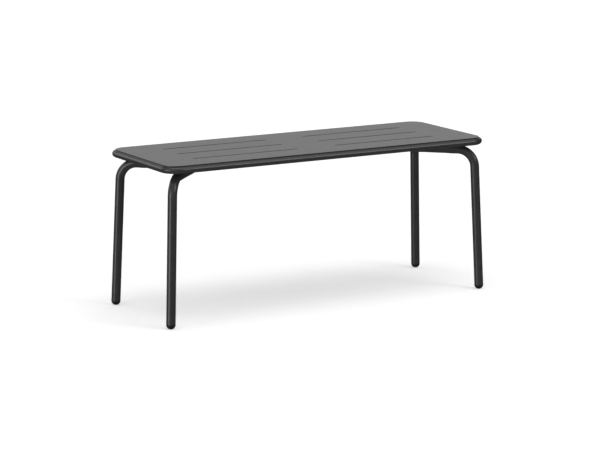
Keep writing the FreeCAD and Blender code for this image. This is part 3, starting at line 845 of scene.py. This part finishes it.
# %% Start of every finish
def finish_base(name):
    """A new material: its tree, its Principled shader and its Object coordinates."""
    material = bpy.data.materials.new(name)
    material.use_nodes = True
    tree = material.node_tree
    shader = tree.nodes["Principled BSDF"]
    place = node(tree, "ShaderNodeTexCoord").outputs["Object"]
    return material, tree, shader, place


def mix_colour(tree, factor, a, b):
    mixed = node(tree, "ShaderNodeMix", {"data_type": "RGBA"}, {0: factor, 6: a, 7: b})
    return mixed.outputs[2]


def bump(tree, shader, height, distance):
    made = node(tree, "ShaderNodeBump", None,
                {"Height": height, "Distance": distance, "Strength": 1.0})
    tree.links.new(made.outputs["Normal"], shader.inputs["Normal"])


# %% Graphite powder coat
RUBBED_SHARE = 0.5
RUBBED_SMOOTHING = 0.05
DUST_SHARE = 0.025


def graphite_powder_coat():
    material, tree, shader, place = finish_base("graphite_powder_coat")
    shader.inputs["Metallic"].default_value = 0.0
    shader.inputs["IOR"].default_value = 1.5
    surface = use(tree, grain_group, {"Place": place, "Grain Size": 1.1 * MM,
                                      "Wave Size": 9 * MM, "Wave Share": 0.25})
    mottle = surface.outputs["Mottle"]
    rub = use(tree, rub_group, {"Place": place, "Radius": 1.2 * MM,
                                "Break Size": 5 * MM}).outputs["Rub"]
    dust = use(tree, dust_group, {"Place": place, "Patch Size": 70 * MM}).outputs["Dust"]
    coat = mix_colour(tree, mottle, (0.0280, 0.0280, 0.0287, 1), (0.0325, 0.0321, 0.0318, 1))
    rubbed = mix_colour(tree, math_node(tree, "MULTIPLY", rub, RUBBED_SHARE), coat,
                        (0.050, 0.050, 0.051, 1))
    dusty = mix_colour(tree, math_node(tree, "MULTIPLY", dust, DUST_SHARE), rubbed,
                       (0.30, 0.28, 0.25, 1))
    tree.links.new(dusty, shader.inputs["Base Color"])
    rough = remap(tree, mottle, 0.0, 1.0, 0.285, 0.305)
    smoother = math_node(tree, "MULTIPLY", rub, RUBBED_SMOOTHING)
    tree.links.new(math_node(tree, "SUBTRACT", rough, smoother), shader.inputs["Roughness"])
    bump(tree, shader, surface.outputs["Height"], 0.03 * MM)
    return material


# %% [markdown]
# ## Black moulded plastic
#
# Glides, pads and plugs are nylon, moulded in a spark-eroded tool that leaves a very
# fine, even texture. A glide also gets paler scuffs where it is dragged over the
# floor, so a mask by height lets scratches show only on the lowest millimetres.

# %% Black moulded plastic
SCUFF_TOP = 6 * MM
SCUFF_SCALE = 700.0
SCUFF_SHARE = 0.35
SCUFF_ROUGHENING = 0.2


def black_moulded_plastic():
    material, tree, shader, place = finish_base("black_moulded_plastic")
    surface = use(tree, grain_group, {"Place": place, "Grain Size": 0.45 * MM,
                                      "Wave Size": 6 * MM, "Wave Share": 0.25})
    height = node(tree, "ShaderNodeSeparateXYZ", None, {0: place}).outputs["Z"]
    near_floor = remap(tree, height, FLAT_DEPTH, SCUFF_TOP, 1.0, 0.0)
    stretched = node(tree, "ShaderNodeMapping", None,
                     {"Vector": place, "Scale": (4.0, 1.0, 0.4)}).outputs["Vector"]
    streaks = remap(tree, noise(tree, stretched, SCUFF_SCALE, 3.0, 0.7), 0.52, 0.66)
    scuff = math_node(tree, "MULTIPLY", near_floor, streaks)
    body = mix_colour(tree, surface.outputs["Mottle"], (0.0072, 0.0072, 0.0075, 1),
                      (0.0105, 0.0103, 0.0102, 1))
    tree.links.new(mix_colour(tree, math_node(tree, "MULTIPLY", scuff, SCUFF_SHARE), body,
                              (0.070, 0.069, 0.067, 1)), shader.inputs["Base Color"])
    rough = remap(tree, surface.outputs["Mottle"], 0.0, 1.0, 0.42, 0.50)
    rougher = math_node(tree, "MULTIPLY", scuff, SCUFF_ROUGHENING)
    tree.links.new(math_node(tree, "ADD", rough, rougher), shader.inputs["Roughness"])
    bump(tree, shader, surface.outputs["Height"], 0.05 * MM)
    return material


# %% [markdown]
# ## Plated and plain steel
#
# Bolts and washers are zinc plated: a grey metal with cloudy crystals and a faint
# yellow and blue cast. The nuts and the sleeve inside the rim are plain steel as it
# left the mill, darker, with rolling streaks and a little rust starting in patches.

# %% Zinc plate
CAST_SCALE = 90.0
BRIGHT_SHARE = 0.6


def zinc_plate():
    material, tree, shader, place = finish_base("zinc_plate")
    shader.inputs["Metallic"].default_value = 1.0
    surface = use(tree, grain_group, {"Place": place, "Grain Size": 0.5 * MM,
                                      "Wave Size": 3 * MM, "Wave Share": 0.5})
    rub = use(tree, rub_group, {"Place": place, "Radius": 0.4 * MM,
                                "Break Size": 2 * MM}).outputs["Rub"]
    cast = remap(tree, noise(tree, place, CAST_SCALE, 2.0), 0.4, 0.6)
    cloud = mix_colour(tree, cast, (0.50, 0.53, 0.57, 1), (0.60, 0.58, 0.52, 1))
    bright = mix_colour(tree, math_node(tree, "MULTIPLY", rub, BRIGHT_SHARE), cloud,
                        (0.72, 0.72, 0.70, 1))
    tree.links.new(bright, shader.inputs["Base Color"])
    rough = remap(tree, surface.outputs["Mottle"], 0.0, 1.0, 0.28, 0.42)
    tree.links.new(rough, shader.inputs["Roughness"])
    bump(tree, shader, surface.outputs["Height"], 0.02 * MM)
    return material


# %% Plain steel
ROLLING_SCALE = 900.0
RUST_SCALE = 120.0


def mill_steel():
    material, tree, shader, place = finish_base("mill_steel")
    surface = use(tree, grain_group, {"Place": place, "Grain Size": 0.6 * MM,
                                      "Wave Size": 8 * MM, "Wave Share": 0.4})
    along = node(tree, "ShaderNodeMapping", None,
                 {"Vector": place, "Scale": (0.05, 1.0, 1.0)}).outputs["Vector"]
    streaks = remap(tree, noise(tree, along, ROLLING_SCALE, 3.0), 0.3, 0.7)
    rust = remap(tree, noise(tree, place, RUST_SCALE, 5.0, 0.65), 0.58, 0.68)
    steel = mix_colour(tree, streaks, (0.17, 0.17, 0.175, 1), (0.26, 0.26, 0.26, 1))
    tree.links.new(mix_colour(tree, rust, steel, (0.16, 0.060, 0.022, 1)),
                   shader.inputs["Base Color"])
    tree.links.new(math_node(tree, "SUBTRACT", 1.0, rust), shader.inputs["Metallic"])
    tree.links.new(remap(tree, rust, 0.0, 1.0, 0.42, 0.85), shader.inputs["Roughness"])
    bump(tree, shader, surface.outputs["Height"], 0.04 * MM)
    return material


finishes = {
    "graphite_coat": graphite_powder_coat(),
    "black_plastic": black_moulded_plastic(),
    "zinc_hardware": zinc_plate(),
    "plain_steel": mill_steel(),
}
print("finishes:", {slot: material.name for slot, material in finishes.items()})

# %% [markdown]
# ## Put the pieces on the bench
#
# Every new piece takes a finish, rides on the bench's one body and stands for the
# loaded node that it was modelled from. Loaded nodes whose shape is right already,
# such as the bolts, nuts and washers, only take the finish of their own slot.

# %% Finish, ride and replace
def give_finish(piece, slot):
    piece.data.materials.clear()
    piece.data.materials.append(finishes[slot])


def put_on(piece, slot, *replaced):
    give_finish(piece, slot)
    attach(piece, "root")
    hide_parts(*replaced)


put_on(seat, "graphite_coat", "seat_plate")
put_on(rim, "graphite_coat", "rim_tube")
for side, tube in legs.items():
    put_on(tube, "graphite_coat", f"leg_frame_{side}")
for replaced, piece in {**channels, **beads}.items():
    put_on(piece, "graphite_coat", replaced)
for (end, side), glide in glides.items():
    put_on(glide, "black_plastic", f"foot_glide_{end}_{side}")
for (kind, side), piece in small_pieces.items():
    put_on(piece, "black_plastic", f"{kind}_{side}")

KEPT_NODES = {"rim_joint_sleeve": "plain_steel"}
for side in SIDES:
    KEPT_NODES[f"frame_bolts_{side}"] = "zinc_hardware"
    KEPT_NODES[f"curved_washers_{side}"] = "zinc_hardware"
    KEPT_NODES[f"weld_nuts_{side}"] = "plain_steel"
for kept, slot in KEPT_NODES.items():
    give_finish(nodes[kept], slot)

# %% [markdown]
# ## Studio
#
# The bench stands on a pale floor that runs on without an edge. Every light is a soft
# disc a long way off, so that all of the bench is lit alike. One disc straight above and
# a ring of five round the front make the broad shadow. A low one on the left draws the
# streaks down the legs, a small one at the front right picks out the rim, and one low
# behind is what the seat reflects. The floor glows a little itself, is kept out of
# reflections and doesn't block light, which no real floor does. Without that, a pale
# floor mirrored in the upright tubes would wash their narrow streaks out.

# %% Floor
FLOOR_HALF = 40.0
FLOOR_GLOW = 0.45
FLOOR_TONE_SCALE = 3.0


def pale_floor():
    clear_selection()
    bpy.ops.mesh.primitive_plane_add(size=2 * FLOOR_HALF)
    floor = name_piece("studio_floor")
    material, tree, shader, place = finish_base("pale_floor")
    tone = remap(tree, noise(tree, place, FLOOR_TONE_SCALE), 0.3, 0.7)
    tree.links.new(mix_colour(tree, tone, (0.80, 0.80, 0.80, 1), (0.81, 0.81, 0.81, 1)),
                   shader.inputs["Base Color"])
    shader.inputs["Roughness"].default_value = 1.0
    shader.inputs["Specular IOR Level"].default_value = 0.0
    shader.inputs["Emission Color"].default_value = (1, 1, 1, 1)
    shader.inputs["Emission Strength"].default_value = FLOOR_GLOW
    floor.data.materials.append(material)
    floor.visible_glossy = False
    floor.visible_shadow = False


pale_floor()


# %% Lights
RING_ELEVATION = 62
RING_WIDTH = 40
RING_GLOWS = {-90: 0.55, -45: 0.62, 0: 0.58, 45: 0.85, 90: 0.62}


def direction(azimuth, elevation):
    """Unit vector from the bench towards a place, azimuth 0 being straight in front."""
    a, e = math.radians(azimuth), math.radians(elevation)
    return Vector((math.sin(a) * math.cos(e), -math.cos(a) * math.cos(e), math.sin(e)))


def soft_disc(name, azimuth, elevation, width, glow):
    """A disc of even glow, as wide as the given angle, a long way off."""
    clear_selection()
    turn = direction(azimuth, elevation).to_track_quat("Z", "Y").to_euler()
    bpy.ops.object.light_add(type="SUN", rotation=turn)
    light = bpy.context.object
    light.name = name
    light.data.angle = math.radians(width)
    light.data.energy = glow * math.pi * math.sin(math.radians(width / 2)) ** 2


soft_disc("overhead_box", 0, 88, 36, 1.75)
for azimuth, glow in RING_GLOWS.items():
    soft_disc(f"overhead_ring_{azimuth}", azimuth, RING_ELEVATION, RING_WIDTH, glow)
soft_disc("left_strip", -80, 1, 26, 4.1)
soft_disc("left_sweep", -80, 12, 50, 1.0)
soft_disc("right_box", 34, 24, 14, 7.5)
soft_disc("right_sweep", 30, 30, 30, 1.2)
soft_disc("front_fill", -30, 20, 40, 0.38)
soft_disc("rear_box", 150, 18, 50, 0.62)
soft_disc("rear_left_box", -150, 22, 40, 1.4)


# %% Air around the studio
AIR_GLOW = 0.03


def studio_air():
    """Almost dark to the bench, and as pale as the floor to the camera."""
    world = bpy.data.worlds.new("studio_air")
    bpy.context.scene.world = world
    world.use_nodes = True
    tree = world.node_tree
    seen = node(tree, "ShaderNodeLightPath").outputs["Is Camera Ray"]
    tree.links.new(remap(tree, seen, 0.0, 1.0, AIR_GLOW, 1.0),
                   tree.nodes["Background"].inputs["Strength"])
    tree.nodes["Background"].inputs["Color"].default_value = (1, 1, 1, 1)


studio_air()

# %% [markdown]
# ## Camera
#
# A long lens seven metres back, at about eye level for someone standing, keeps the long
# edges of the bench nearly parallel. The camera looks a little below the middle of the
# bench's height.

# %% Camera
CAMERA_AZIMUTH = -30.035
CAMERA_ELEVATION = 11.164
CAMERA_DISTANCE = 7.02
CAMERA_LENS = 146.67
CAMERA_TARGET = Vector((0, 0, 0.2102))

clear_selection()
place = CAMERA_TARGET + direction(CAMERA_AZIMUTH, CAMERA_ELEVATION) * CAMERA_DISTANCE
turn = (CAMERA_TARGET - place).to_track_quat("-Z", "Y").to_euler()
bpy.ops.object.camera_add(location=place, rotation=turn)
camera = bpy.context.object
camera.name = "studio_camera"
camera.data.sensor_width = 36.0
camera.data.lens = CAMERA_LENS
camera.data.clip_end = 200.0
bpy.context.scene.camera = camera
bpy.context.scene.view_settings.view_transform = "Standard"
print("camera at", tuple(round(value, 3) for value in place))
